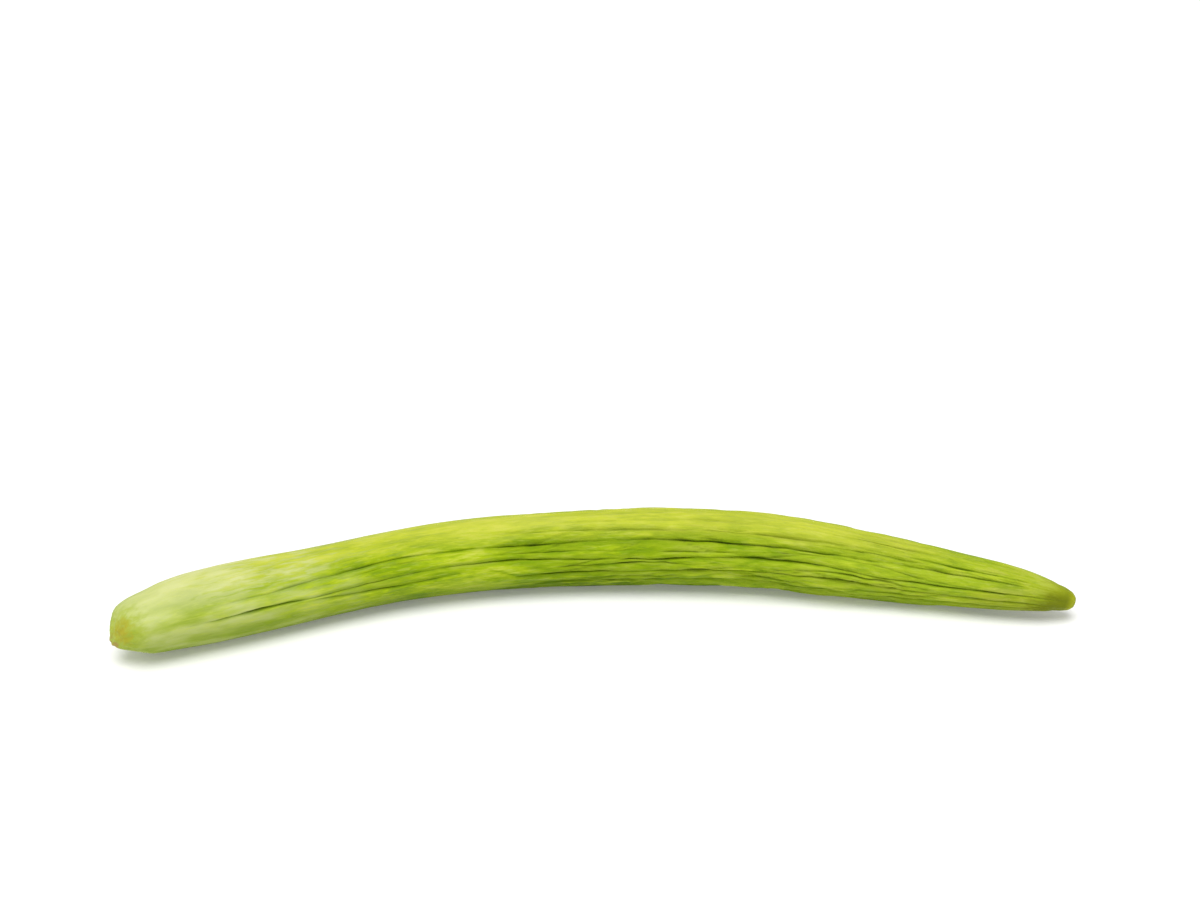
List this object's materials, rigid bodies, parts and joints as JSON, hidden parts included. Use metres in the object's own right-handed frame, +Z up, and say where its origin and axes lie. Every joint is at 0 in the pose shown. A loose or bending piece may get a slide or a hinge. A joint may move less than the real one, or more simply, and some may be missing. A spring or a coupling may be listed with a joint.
{
  "type": "armenian cucumber",
  "caption": "Long, gently bowed pale green fruit with lengthwise ribs and creases, a blunt blossom end and a tapering stem end, lying on its side.",
  "frame": {"origin": "middle of the bounding box, on the surface that the fruit lies on", "axes": "+X along the fruit towards its stem end, +Y the side that it bows towards, +Z up"},
  "size_m": [0.4108, 0.0728, 0.0349],
  "materials": {
    "skin": "downy, satin, uncoated skin"
  },
  "bodies": {
    "root": {"cucumber": "skin"}
  },
  "joints": []
}
